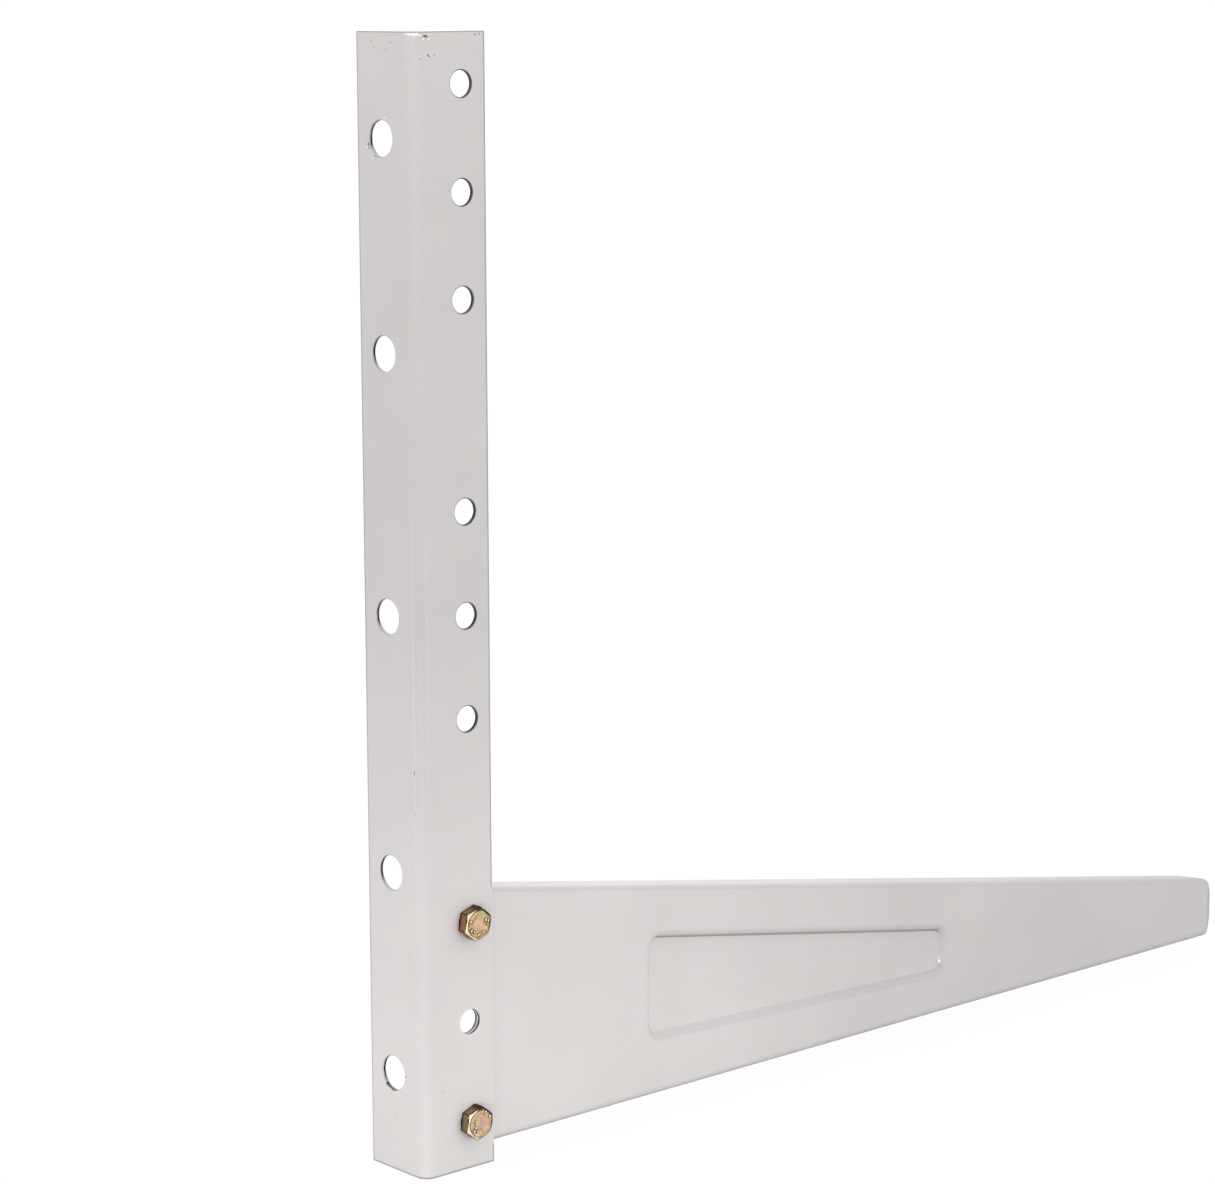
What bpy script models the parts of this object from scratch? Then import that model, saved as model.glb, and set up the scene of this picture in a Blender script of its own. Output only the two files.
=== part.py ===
"""Wall bracket that carries one side of an air conditioner's outdoor unit.

X points away from the wall and is zero on the wall. Y runs along the wall and is zero on the line of
anchor holes. Z is up and is zero on the face that the unit's foot stands on. Lengths are in metres.
"""

from math import atan, cos, hypot, pi, sin, sqrt, tan

import bmesh
import bpy
from mathutils import Matrix, Vector

# Upright: a steel angle with one flange flat on the wall and the other standing out from it
UPRIGHT_LENGTH = 0.548
WALL_FLANGE = 0.0411
SIDE_FLANGE = 0.0435
UPRIGHT_SHEET = 0.002
FOLD_INSIDE_RADIUS = 0.004

# Anchor holes in the wall flange: one at mid length and two toward each end
ANCHOR_HOLE = 0.017
ANCHOR_LINE = 0.0235
ANCHOR_FROM_END = 0.049
ANCHOR_STEP = 0.100

# Holes in the side flange: equal groups up the upright, so that the arm can be bolted at each group
SIDE_HOLE = 0.0125
SIDE_HOLE_LINE = 0.029
SIDE_HOLE_FROM_END = 0.024
SIDE_HOLE_STEP = 0.050
HOLES_IN_GROUP = 3
HOLE_GROUPS = 3
GROUP_STEP = 0.200

# Arm: one sheet folded into a tapered channel, with a wide flange below and a narrow lip above
ARM_REACH = 0.600
ARM_SHEET = 0.002
ARM_BEND_INSIDE_RADIUS = 0.002
LIP_BEND_INSIDE_RADIUS = 0.0012
ARM_HEIGHT_AT_WALL = 0.137
ARM_HEIGHT_AT_TIP = 0.0346
LOAD_FLANGE = 0.0415
LIP = 0.013
ARM_BOLT_HEIGHT = 0.0151
ARM_SPACE_TO_FOLD = 0.001
LIP_TIP_CORNER = 0.0095
SHEET_CORNER = 0.003

# Slots in the load flange for the bolts of the unit's feet
SLOT_LINE = 0.0245
SLOT_WIDTH = 0.014
SLOT_LENGTH = 0.128
INNER_SLOT_FROM_WALL = 0.076
OUTER_SLOT_FROM_TIP = 0.022

# Stiffening panel pressed into the web from outside, with a sloping wall all round its flat floor
PANEL_FROM_WALL = 0.1455
PANEL_LENGTH = 0.2265
PANEL_BELOW_LIP = 0.0231
PANEL_HEIGHT_AT_START = 0.0279
PANEL_HEIGHT_AT_END = 0.0193
PANEL_DEPTH = 0.003
PANEL_WALL = 0.0055
PANEL_CREASE_RADIUS = 0.0009
PANEL_CORNER = 0.010

# Hexagon bolts, each with a nut inside the arm
BOLT_DIAMETER = 0.010
BOLT_LENGTH = 0.018
BOLT_END_CHAMFER = 0.001
HEAD_HEIGHT = 0.0064
NUT_HEIGHT = 0.0084
ACROSS_FLATS = 0.015
HEX_FACE_SHARE = 0.95  # diameter of the flat left by the chamfer, over the size across flats
HEX_CHAMFER_ANGLE = pi / 6
PLAY_TAKEN = 0.7  # how far the bolts lie off centre in their holes, over the play in the hole
UPPER_HEAD_TURN = 0.18
LOWER_HEAD_TURN = 0.15
UPPER_NUT_TURN = 0.35
LOWER_NUT_TURN = -0.15

# Clearance left between pieces that touch on the real bracket, and how far a cutter overshoots
CONTACT_GAP = 0.0003
THREAD_GAP = 0.0003
OVERSHOOT = 0.005

# Facets, and the steepest angle between two that is shaded as one round face
SMOOTH_ANGLE = pi / 7
BEND_STEPS = 6
HOLE_SIDES = 32
CORNER_STEPS = 6
PANEL_SHOULDER_STEPS = 4
PANEL_CREASE_STEPS = 2

# Places that follow from the sizes above
SIDE_FACE_Y = -ANCHOR_LINE
WEB_FACE_Y = SIDE_FACE_Y + UPRIGHT_SHEET + CONTACT_GAP
ARM_UNDERSIDE_Z = -ARM_SHEET
UPRIGHT_BOTTOM_Z = ARM_UNDERSIDE_Z + ARM_BOLT_HEIGHT - SIDE_HOLE_FROM_END
UPRIGHT_TOP_Z = UPRIGHT_BOTTOM_Z + UPRIGHT_LENGTH
ARM_START_X = UPRIGHT_SHEET + FOLD_INSIDE_RADIUS + ARM_SPACE_TO_FOLD
LIP_FALL = (ARM_HEIGHT_AT_WALL - ARM_HEIGHT_AT_TIP) / ARM_REACH
LIP_SLOPE = sqrt(1 + LIP_FALL**2)
BOLT_LINE_X = SIDE_HOLE_LINE + PLAY_TAKEN * (SIDE_HOLE - BOLT_DIAMETER) / 2


def clear_scene():
    for obj in list(bpy.data.objects):
        bpy.data.objects.remove(obj, do_unlink=True)


def make_material(name, colour, roughness, metallic):
    material = bpy.data.materials.new(name)
    material.use_nodes = True
    shader = material.node_tree.nodes["Principled BSDF"]
    shader.inputs["Base Color"].default_value = (*colour, 1.0)
    shader.inputs["Roughness"].default_value = roughness
    shader.inputs["Metallic"].default_value = metallic
    return material


def make_object(name, bm, material=None):
    """Turns a bmesh into an object whose faces point outwards."""
    bmesh.ops.recalc_face_normals(bm, faces=bm.faces)
    mesh = bpy.data.meshes.new(name)
    bm.to_mesh(mesh)
    bm.free()
    mesh.shade_smooth()
    mesh.set_sharp_from_angle(angle=SMOOTH_ANGLE)
    obj = bpy.data.objects.new(name, mesh)
    bpy.context.scene.collection.objects.link(obj)
    if material:
        mesh.materials.append(material)
    return obj


def make_cutter(name, bm):
    """A helper that only shapes other objects."""
    cutter = make_object(name, bm)
    cutter.hide_render = True
    cutter.display_type = "WIRE"
    return cutter


def add_boolean(obj, tool, operation):
    modifier = obj.modifiers.new(tool.name, "BOOLEAN")
    modifier.operation = operation
    modifier.solver = "EXACT"
    modifier.object = tool


def arc(centre, radius, start, end, steps):
    """Points of an arc in a plane, from one angle to another, ends included."""
    angles = [start + (end - start) * i / steps for i in range(steps + 1)]
    return [(centre[0] + radius * cos(a), centre[1] + radius * sin(a)) for a in angles]


def add_prism(bm, outline, place):
    """A closed prism. place turns an outline point and 0 or 1 into a point of the near or far end."""
    near = [bm.verts.new(place(p, 0)) for p in outline]
    far = [bm.verts.new(place(p, 1)) for p in outline]
    bm.faces.new(near)
    bm.faces.new(reversed(far))
    for i in range(len(outline)):
        j = (i + 1) % len(outline)
        bm.faces.new((near[i], far[i], far[j], near[j]))


def add_drill(bm, centre, axis, diameter, depth):
    """A cylinder centred on a hole, long enough to pass through the sheet."""
    turn = Vector((0, 0, 1)).rotation_difference(axis).to_matrix().to_4x4()
    bmesh.ops.create_cone(
        bm,
        cap_ends=True,
        segments=HOLE_SIDES,
        radius1=diameter / 2,
        radius2=diameter / 2,
        depth=depth + 2 * OVERSHOOT,
        matrix=Matrix.Translation(centre) @ turn,
    )


def side_hole_height(place):
    """Height of a place on the side flange's hole pitch, counted up from the lowest hole."""
    return UPRIGHT_BOTTOM_Z + SIDE_HOLE_FROM_END + place * SIDE_HOLE_STEP


def upright_profile():
    """Section of the angle in X and Y, outer face first and then back along the inner face."""
    outside = FOLD_INSIDE_RADIUS + UPRIGHT_SHEET
    centre = (outside, SIDE_FACE_Y + outside)
    edge_y = SIDE_FACE_Y + WALL_FLANGE
    outer = [(0, edge_y), *arc(centre, outside, pi, 1.5 * pi, BEND_STEPS), (SIDE_FLANGE, SIDE_FACE_Y)]
    inner = [
        (SIDE_FLANGE, SIDE_FACE_Y + UPRIGHT_SHEET),
        *arc(centre, FOLD_INSIDE_RADIUS, 1.5 * pi, pi, BEND_STEPS),
        (UPRIGHT_SHEET, edge_y),
    ]
    return outer + inner


def anchor_heights():
    middle = (UPRIGHT_BOTTOM_Z + UPRIGHT_TOP_Z) / 2
    end = UPRIGHT_LENGTH / 2 - ANCHOR_FROM_END
    return [middle + offset for offset in (-end, ANCHOR_STEP - end, 0, end - ANCHOR_STEP, end)]


def upright_holes():
    bm = bmesh.new()
    for z in anchor_heights():
        add_drill(bm, (UPRIGHT_SHEET / 2, 0, z), Vector((1, 0, 0)), ANCHOR_HOLE, UPRIGHT_SHEET)
    for group in range(HOLE_GROUPS):
        for place in range(HOLES_IN_GROUP):
            z = side_hole_height(place) + group * GROUP_STEP
            centre = (SIDE_HOLE_LINE, SIDE_FACE_Y + UPRIGHT_SHEET / 2, z)
            add_drill(bm, centre, Vector((0, 1, 0)), SIDE_HOLE, UPRIGHT_SHEET)
    return make_cutter("upright_hole_cutter", bm)


def build_upright(material):
    bm = bmesh.new()
    ends = (UPRIGHT_BOTTOM_Z, UPRIGHT_TOP_Z)
    add_prism(bm, upright_profile(), lambda p, end: (p[0], p[1], ends[end]))
    upright = make_object("upright", bm, material)
    add_boolean(upright, upright_holes(), "DIFFERENCE")
    return upright


def lip_height(x):
    """Height of the lip's upper face at a distance from the wall."""
    return ARM_UNDERSIDE_Z + ARM_HEIGHT_AT_WALL - LIP_FALL * x


def arm_section(x):
    """Outer and inner face of the arm's section in Y and Z, cut upright at a distance from the wall.

    Each runs from the load flange's edge round the web to the lip's edge. The lip slopes, so the
    heights of its bend are stretched by the slope.
    """
    lower_bend = ARM_BEND_INSIDE_RADIUS + ARM_SHEET
    lip_bend = LIP_BEND_INSIDE_RADIUS + ARM_SHEET
    top = lip_height(x)

    def face(sunk):
        low = (WEB_FACE_Y + lower_bend, ARM_UNDERSIDE_Z + lower_bend)
        lower = arc(low, lower_bend - sunk, 1.5 * pi, pi, BEND_STEPS)
        upper = arc((WEB_FACE_Y + lip_bend, -lip_bend), lip_bend - sunk, pi, 0.5 * pi, BEND_STEPS)
        return [
            (WEB_FACE_Y + LOAD_FLANGE, ARM_UNDERSIDE_Z + sunk),
            *lower,
            *[(y, top + drop * LIP_SLOPE) for y, drop in upper],
            (WEB_FACE_Y + LIP, top - sunk * LIP_SLOPE),
        ]

    return face(0), face(ARM_SHEET)


def rounded_outline(corners, radius):
    """A polygon's outline with each corner replaced by an arc that touches both of its sides."""
    points = []
    for i, corner in enumerate(corners):
        here = Vector(corner)
        back = (Vector(corners[i - 1]) - here).normalized()
        ahead = (Vector(corners[(i + 1) % len(corners)]) - here).normalized()
        half = back.angle(ahead) / 2
        middle = here + (back + ahead).normalized() * (radius / sin(half))
        start = here + back * (radius / tan(half)) - middle
        end = here + ahead * (radius / tan(half)) - middle
        sweep = start.angle_signed(end)
        for k in range(CORNER_STEPS + 1):
            a = -sweep * k / CORNER_STEPS
            turned = Vector((start.x * cos(a) - start.y * sin(a), start.x * sin(a) + start.y * cos(a)))
            points.append(middle + turned)
    return points


def panel_outline(inset):
    """Outline of the pressed panel in X and Z, moved inwards by an inset on every side."""
    rise = (PANEL_HEIGHT_AT_END - PANEL_HEIGHT_AT_START) / PANEL_LENGTH
    left = PANEL_FROM_WALL + inset
    right = PANEL_FROM_WALL + PANEL_LENGTH - inset

    def bottom(x):
        level = ARM_UNDERSIDE_Z + PANEL_HEIGHT_AT_START + rise * (x - PANEL_FROM_WALL)
        return level + inset * hypot(1, rise)

    def top(x):
        return lip_height(x) - PANEL_BELOW_LIP - inset * LIP_SLOPE

    corners = [(left, bottom(left)), (right, bottom(right)), (right, top(right)), (left, top(left))]
    return rounded_outline(corners, PANEL_CORNER - inset)


def panel_wall():
    """The panel's wall from the web to its floor: a wide round shoulder, then a tight crease.

    Each place is (inset, depth, lean), and the lean is the slope of the wall there.
    """
    steepest = 2 * atan(PANEL_DEPTH / PANEL_WALL)
    shoulder = PANEL_WALL / sin(steepest) - PANEL_CREASE_RADIUS
    places = []
    for k in range(PANEL_SHOULDER_STEPS + 1):
        lean = steepest * k / PANEL_SHOULDER_STEPS
        places.append((shoulder * sin(lean), shoulder * (1 - cos(lean)), lean))
    for k in range(1, PANEL_CREASE_STEPS + 1):
        lean = steepest * (1 - k / PANEL_CREASE_STEPS)
        inset = PANEL_WALL - PANEL_CREASE_RADIUS * sin(lean)
        places.append((inset, PANEL_DEPTH - PANEL_CREASE_RADIUS * (1 - cos(lean)), lean))
    return places


def panel_rings():
    """Rings from the web to the panel's floor, as (outline, Y) for the outer and the inner face.

    The inner face keeps the sheet's thickness square to the outer one.
    """
    outer, inner = [], []
    for inset, depth, lean in panel_wall():
        outer.append((panel_outline(inset), WEB_FACE_Y + depth))
        back = panel_outline(inset - ARM_SHEET * sin(lean))
        inner.append((back, WEB_FACE_Y + depth + ARM_SHEET * cos(lean)))
    return outer, inner


def add_panelled_web(bm, corners, rings):
    """One face of the web: a flat sheet between four corners, with the pressed panel set into it."""
    loops = [[bm.verts.new((p.x, y, p.y)) for p in outline] for outline, y in rings]
    for outer, inner in zip(loops, loops[1:]):
        for i in range(len(outer)):
            j = (i + 1) % len(outer)
            bm.faces.new((outer[i], outer[j], inner[j], inner[i]))
    bm.faces.new(loops[-1])
    edges = []
    for loop in (corners, loops[0]):
        for i in range(len(loop)):
            pair = (loop[i - 1], loop[i])
            edges.append(bm.edges.get(pair) or bm.edges.new(pair))
    bmesh.ops.triangle_fill(bm, use_beauty=True, edges=edges)


def add_channel(bm):
    """The folded sheet, from its end in the upright to its tip."""
    ends = []
    for x in (ARM_START_X, ARM_REACH):
        outer, inner = arm_section(x)
        ends.append([bm.verts.new((x, y, z)) for y, z in outer + inner[::-1]])
    near, far = ends
    bm.faces.new(near)
    bm.faces.new(reversed(far))
    count = len(near)
    outer_web = BEND_STEPS + 1
    inner_web = count - 2 - outer_web
    for i in range(count):
        j = (i + 1) % count
        if i not in (outer_web, inner_web):
            bm.faces.new((near[i], far[i], far[j], near[j]))
    for i, rings in zip((outer_web, inner_web), panel_rings()):
        add_panelled_web(bm, (near[i], far[i], far[i + 1], near[i + 1]), rings)


def arm_holes():
    bm = bmesh.new()
    for place in range(HOLES_IN_GROUP):
        centre = (SIDE_HOLE_LINE, WEB_FACE_Y + ARM_SHEET / 2, side_hole_height(place))
        add_drill(bm, centre, Vector((0, 1, 0)), SIDE_HOLE, ARM_SHEET)
    return make_cutter("arm_hole_cutter", bm)


def slot_outline(start):
    """A slot with round ends in X and Y, starting at a distance from the wall."""
    radius = SLOT_WIDTH / 2
    y = WEB_FACE_Y + SLOT_LINE
    far_end = arc((start + SLOT_LENGTH - radius, y), radius, -pi / 2, pi / 2, HOLE_SIDES // 2)
    near_end = arc((start + radius, y), radius, pi / 2, 1.5 * pi, HOLE_SIDES // 2)
    return far_end + near_end


def slot_starts():
    return INNER_SLOT_FROM_WALL, ARM_REACH - OUTER_SLOT_FROM_TIP - SLOT_LENGTH


def arm_slots():
    bm = bmesh.new()
    levels = (ARM_UNDERSIDE_Z - OVERSHOOT, OVERSHOOT)
    for start in slot_starts():
        add_prism(bm, slot_outline(start), lambda p, end: (p[0], p[1], levels[end]))
    return make_cutter("arm_slot_cutter", bm)


def corner_outline(x, y, toward_x, toward_y, radius):
    """What a rounded corner removes, in X and Y. The two signs point from the corner into the sheet."""
    centre = (x + toward_x * radius, y + toward_y * radius)
    curve = [
        (centre[0] - toward_x * dx, centre[1] - toward_y * dy)
        for dx, dy in arc((0, 0), radius, 0, pi / 2, CORNER_STEPS)
    ]
    out_x = x - toward_x * OVERSHOOT
    out_y = y - toward_y * OVERSHOOT
    return [*curve, (centre[0], out_y), (out_x, out_y), (out_x, centre[1])]


def arm_corners():
    """Rounds the free corners of the load flange and of the lip."""
    bm = bmesh.new()
    flange_y = WEB_FACE_Y + LOAD_FLANGE
    lip_y = WEB_FACE_Y + LIP
    below = (ARM_UNDERSIDE_Z - OVERSHOOT, OVERSHOOT)
    for x, inwards in ((ARM_START_X, 1), (ARM_REACH, -1)):
        above = (lip_height(x) - 2 * OVERSHOOT, lip_height(x) + OVERSHOOT)
        lip_corner = SHEET_CORNER if inwards > 0 else LIP_TIP_CORNER
        for y, radius, levels in ((flange_y, SHEET_CORNER, below), (lip_y, lip_corner, above)):
            outline = corner_outline(x, y, inwards, -1, radius)
            add_prism(bm, outline, lambda p, end: (p[0], p[1], levels[end]))
    return make_cutter("arm_corner_cutter", bm)


def build_arm(material):
    bm = bmesh.new()
    add_channel(bm)
    arm = make_object("arm", bm, material)
    for cutter in (arm_holes(), arm_slots(), arm_corners()):
        add_boolean(arm, cutter, "DIFFERENCE")
    return arm


def add_hexagon(bm, start, end, turn):
    """A hexagon prism about Z. At turn 0 one corner points up once the bolt lies on its side."""
    radius = ACROSS_FLATS / 2 / cos(pi / 6)
    angles = [turn + (i + 0.5) * pi / 3 for i in range(6)]
    corners = [(radius * cos(a), radius * sin(a)) for a in angles]
    levels = (start, end)
    add_prism(bm, corners, lambda p, level: (p[0], p[1], levels[level]))


def add_turned(bm, profile, sides):
    """A solid turned about Z, from (radius, height) points that start and end on the axis."""
    rings = []
    for radius, z in profile:
        count = sides if radius else 1
        angles = [2 * pi * i / sides for i in range(count)]
        rings.append([bm.verts.new((radius * cos(a), radius * sin(a), z)) for a in angles])
    for low, high in zip(rings, rings[1:]):
        for i in range(sides):
            j = (i + 1) % sides
            face = [low[i % len(low)], low[j % len(low)], high[j % len(high)], high[i % len(high)]]
            bm.faces.new(dict.fromkeys(face))


def chamfer_envelope(start, end, both_ends):
    """The turned shape that takes the corners off a hexagon at its start, or at both ends."""
    corner = ACROSS_FLATS / 2 / cos(pi / 6) + OVERSHOOT
    face = ACROSS_FLATS / 2 * HEX_FACE_SHARE
    run = (corner - face) * tan(HEX_CHAMFER_ANGLE)
    bm = bmesh.new()
    low = [(0, start), (face, start), (corner, start + run)]
    plain = [(corner, end + OVERSHOOT), (0, end + OVERSHOOT)]
    high = [(corner, end - run), (face, end), (0, end)]
    add_turned(bm, low + (high if both_ends else plain), HOLE_SIDES)
    return bm


def lay_on_side(obj, y, z):
    """Turns a fastener made about Z so that it points along +Y, and sets its origin in its hole."""
    obj.rotation_euler = (-pi / 2, 0, 0)
    obj.location = (BOLT_LINE_X, y, z)


def build_bolt(name, z, turn, material):
    """A bolt whose head stands on the side flange. Its origin is under the head."""
    bm = bmesh.new()
    add_hexagon(bm, -HEAD_HEIGHT, 0, turn)
    bolt = make_object(name, bm, material)
    envelope = make_cutter(name + "_chamfer", chamfer_envelope(-HEAD_HEIGHT, 0, False))
    shank = bmesh.new()
    radius = BOLT_DIAMETER / 2
    tip = radius - BOLT_END_CHAMFER
    inside = -HEAD_HEIGHT / 2
    profile = [
        (0, inside),
        (radius, inside),
        (radius, BOLT_LENGTH - BOLT_END_CHAMFER),
        (tip, BOLT_LENGTH),
        (0, BOLT_LENGTH),
    ]
    add_turned(shank, profile, HOLE_SIDES)
    shank = make_cutter(name + "_shank", shank)
    add_boolean(bolt, envelope, "INTERSECT")
    add_boolean(bolt, shank, "UNION")
    for obj in (bolt, envelope, shank):
        lay_on_side(obj, SIDE_FACE_Y - CONTACT_GAP, z)
    return bolt


def build_nut(name, z, turn, material):
    """A nut against the inside of the web. Its origin is on the face that meets the web."""
    bm = bmesh.new()
    add_hexagon(bm, 0, NUT_HEIGHT, turn)
    nut = make_object(name, bm, material)
    envelope = make_cutter(name + "_chamfer", chamfer_envelope(0, NUT_HEIGHT, True))
    bore = bmesh.new()
    bore_diameter = BOLT_DIAMETER + 2 * THREAD_GAP
    add_drill(bore, (0, 0, NUT_HEIGHT / 2), Vector((0, 0, 1)), bore_diameter, NUT_HEIGHT)
    bore = make_cutter(name + "_bore", bore)
    add_boolean(nut, envelope, "INTERSECT")
    add_boolean(nut, bore, "DIFFERENCE")
    for obj in (nut, envelope, bore):
        lay_on_side(obj, WEB_FACE_Y + ARM_SHEET + CONTACT_GAP, z)
    return nut


def main():
    clear_scene()
    coat = make_material("light_grey_powder_coat", (0.66, 0.64, 0.63), 0.45, 0.0)
    zinc = make_material("yellow_zinc", (0.78, 0.60, 0.36), 0.30, 1.0)
    build_upright(coat)
    build_arm(coat)
    lower = side_hole_height(0)
    upper = side_hole_height(HOLES_IN_GROUP - 1)
    build_bolt("lower_bolt", lower, LOWER_HEAD_TURN, zinc)
    build_bolt("upper_bolt", upper, UPPER_HEAD_TURN, zinc)
    build_nut("lower_nut", lower, LOWER_NUT_TURN, zinc)
    build_nut("upper_nut", upper, UPPER_NUT_TURN, zinc)


main()
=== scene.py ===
from math import atan2, cos, hypot, pi, radians, sin, sqrt, tan

import bmesh
import bpy
from mathutils import Matrix, Vector, noise


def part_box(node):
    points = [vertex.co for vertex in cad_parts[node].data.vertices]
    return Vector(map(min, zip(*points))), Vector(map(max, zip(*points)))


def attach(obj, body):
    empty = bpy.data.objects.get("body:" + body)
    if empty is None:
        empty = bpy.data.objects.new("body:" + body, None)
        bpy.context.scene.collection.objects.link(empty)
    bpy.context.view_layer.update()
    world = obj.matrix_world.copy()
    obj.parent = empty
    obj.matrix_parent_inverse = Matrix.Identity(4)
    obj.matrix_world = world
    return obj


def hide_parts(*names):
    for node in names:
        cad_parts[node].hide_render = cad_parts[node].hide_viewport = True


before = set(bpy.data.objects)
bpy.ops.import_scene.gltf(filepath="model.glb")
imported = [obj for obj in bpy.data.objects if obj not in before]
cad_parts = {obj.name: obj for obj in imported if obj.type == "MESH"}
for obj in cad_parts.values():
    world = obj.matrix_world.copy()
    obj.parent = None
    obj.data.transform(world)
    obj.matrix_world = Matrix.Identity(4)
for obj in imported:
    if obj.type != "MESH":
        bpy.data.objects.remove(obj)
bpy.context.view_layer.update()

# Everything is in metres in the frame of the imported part: X away from the wall, Y along it, Z up

# The two sheets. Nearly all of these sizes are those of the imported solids
SHEET = 0.002
SIDE_FLANGE = 0.0435
WALL_EDGE_Y = 0.0176
UPRIGHT_TOP = 0.5371
UPRIGHT_FOOT = -0.0109
ARM_REACH = 0.600
SIDE_FACE_Y = -0.0235
WEB_FACE_Y = -0.0212
FOLD_RADIUS = 0.006
ARM_BEND_RADIUS = 0.004
LIP_BEND_RADIUS = 0.0032
ANCHOR_HOLE = 0.017
ANCHOR_HEIGHTS = (0.0381, 0.1381, 0.2631, 0.3881, 0.4881)
SIDE_HOLE = 0.0125
SIDE_HOLE_X = 0.029
ARM_HOLE_HEIGHTS = (0.0131, 0.0631, 0.1131)
LOWER_BOLT_Z, SPARE_HOLE_Z, UPPER_BOLT_Z = ARM_HOLE_HEIGHTS
FREE_HOLE_HEIGHTS = (0.2131, 0.2631, 0.3131, 0.4131, 0.4631, 0.5131)
SPARE_HOLE = (SIDE_HOLE_X, WEB_FACE_Y, SPARE_HOLE_Z)
LIP_AT_WALL = 0.135
LIP_FALL = 0.1024 / ARM_REACH
LIP_SLOPE = sqrt(1 + LIP_FALL**2)
LOAD_FLANGE_EDGE_Y = 0.0203
LIP_EDGE_Y = -0.0082
SHEET_CORNER = 0.003
TIP_LIP_CORNER = 0.022  # radii in the flat sheet, before it is folded
TIP_FOOT_CORNER = 0.036
TIP_FOOT_START = 0.012  # height on the web at which the lower corner's curve starts
TIP_FOOT_END = 0.0106  # how far past its start it runs before the end is straight again
SLOT_Y = 0.0033
SLOT_WIDTH = 0.014
SLOTS = ((0.076, 0.204), (0.450, 0.578))
PANEL_START = 0.1455
PANEL_LENGTH = 0.2265
PANEL_BELOW_LIP = 0.0231
PANEL_HEIGHT_AT_START = 0.0279
PANEL_HEIGHT_AT_END = 0.0193
PANEL_DEPTH = 0.003
PANEL_WALL = 0.0055
PANEL_CORNER = 0.010
PANEL_CREASE = 0.0009
EVEN_EDGE = 0.00004  # how far the edge of a punched hole strays from the circle
WORN_EDGE = 0.00018
UPRIGHT_SEED = 73  # each hole's seed is its height times this
ARM_SEED = 91

# Heights at which the upright's skin is divided into lengths
UPRIGHT_JOINS = (0.0245, 0.0517, 0.0886, 0.1245, 0.1750, 0.2380, 0.2880, 0.3500, 0.4380, 0.5018)

# Fasteners, each about its own axis. The seats are where they meet the sheets, and turns are in radians
BOLT_X = 0.029875
HEAD_SEAT_Y = -0.0238
NUT_SEAT_Y = -0.0189
ACROSS_FLATS = 0.015
HEAD_HEIGHT = 0.0064
NUT_HEIGHT = 0.0084
BOLT_LENGTH = 0.018
THREAD_RADIUS = 0.005
THREAD_DEPTH = 0.00085
THREAD_PITCH = 0.0015
THREAD_CREST = 0.12  # as shares of half a pitch
THREAD_FLANK = 0.68
THREAD_START = -0.001  # inside the head
THREAD_CHAMFER = 0.001
NUT_BORE_RADIUS = 0.00515
NUT_GROOVE_DEPTH = 0.0004
COUNTERSINK_RADIUS = 0.0056
HEX_FACE_RADIUS = 0.0071
HEX_CORNER_RADIUS = 0.0006
HEX_EDGE_RADIUS = 0.0003
HEAD_SEAT_RADIUS = 0.0002
HEAD_FLAT_RADIUS = 0.006
MARK_HEIGHT = 0.00035
UPPER_HEAD_TURN = 0.18
LOWER_HEAD_TURN = 0.15
UPPER_NUT_TURN = 0.35
LOWER_NUT_TURN = -0.15

# Colours and tints. Where there are two, a surface goes from one to the other
WHITE = (1.0, 1.0, 1.0)
COAT = (0.655, 0.628, 0.620)
# Painted shade: the rounded cut edges get a darker coat, which draws dark lines along them
EDGE_SHADE_COAT = tuple(0.85 * c for c in COAT)
TOP_END = tuple(0.52 * c for c in COAT)
# Painted shade, as tints for slopes that lean up, the lower bend's underside and upward faces toward the
# tip
LEANING_SHADE_TINT = (0.82, 0.82, 0.82)
UNDERSIDE_SHADE_TINT = (0.42, 0.42, 0.42)
UPWARD_SHADE_TINT = (0.66, 0.66, 0.66)
SPECKLE_TINT = (0.96, 0.96, 0.96)
CHIP = (0.09, 0.085, 0.08)
# Bright bare metal, for the burrs and for the arm's painted glint
BURR_AND_GLINT = (0.97, 0.97, 0.96)
# Near-black cut steel, partly painted shade
STEEL_AND_SHADE = ((0.006, 0.005, 0.005), (0.022, 0.020, 0.018))
ZINC = ((0.30, 0.15, 0.085), (0.30, 0.25, 0.13))
# Painted shade to painted highlight across the bolts' chamfers
CHAMFER_SHADE_TO_HIGHLIGHT = ((0.30, 0.20, 0.11), (0.97, 0.86, 0.64))
# Painted shade lines on the bolt heads, also used for their dark specks
HEAD_SHADE_AND_SPECKS = (0.045, 0.028, 0.016)
MARK_SHADE = (0.10, 0.055, 0.03)
# Painted highlight on the crests of the raised marks
MARK_HIGHLIGHT = (0.98, 0.92, 0.78)
FLOOR_GREY = (0.40, 0.40, 0.40)

# How finely the pieces are rounded. The run-in is a narrow strip beside each bend, which keeps the
# shading of the flats even
RUN_IN = 0.0008
EDGE_ROUNDING = 0.0005
EDGE_STEPS = 3
EDGE_ANGLE = radians(50)
BEND_STEPS = 12
HOLE_SIDES = 64
CORNER_STEPS = 10
THREAD_SIDES = 48
THREAD_ROWS = 12
HEX_CORNER_STEPS = 8
PROFILE_STEPS = 4
MARK_SIDES = 16
SHARP_ANGLE = radians(38)

# Section of a raised mark, as shares of its width and height
MARK_SECTION = ((1.0, -0.3), (0.92, 0.35), (0.72, 0.8), (0.35, 1.0))

# The camera, fitted to the holes, edges and ends in the photograph
CAMERA_PLACE = (-0.98566, -1.26736, 0.55675)
CAMERA_AZIMUTH = -41.6
CAMERA_ELEVATION = 9.983585
CAMERA_ROLL = -0.163296
CAMERA_LENS = 101.798
SENSOR_WIDTH = 36.0

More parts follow.
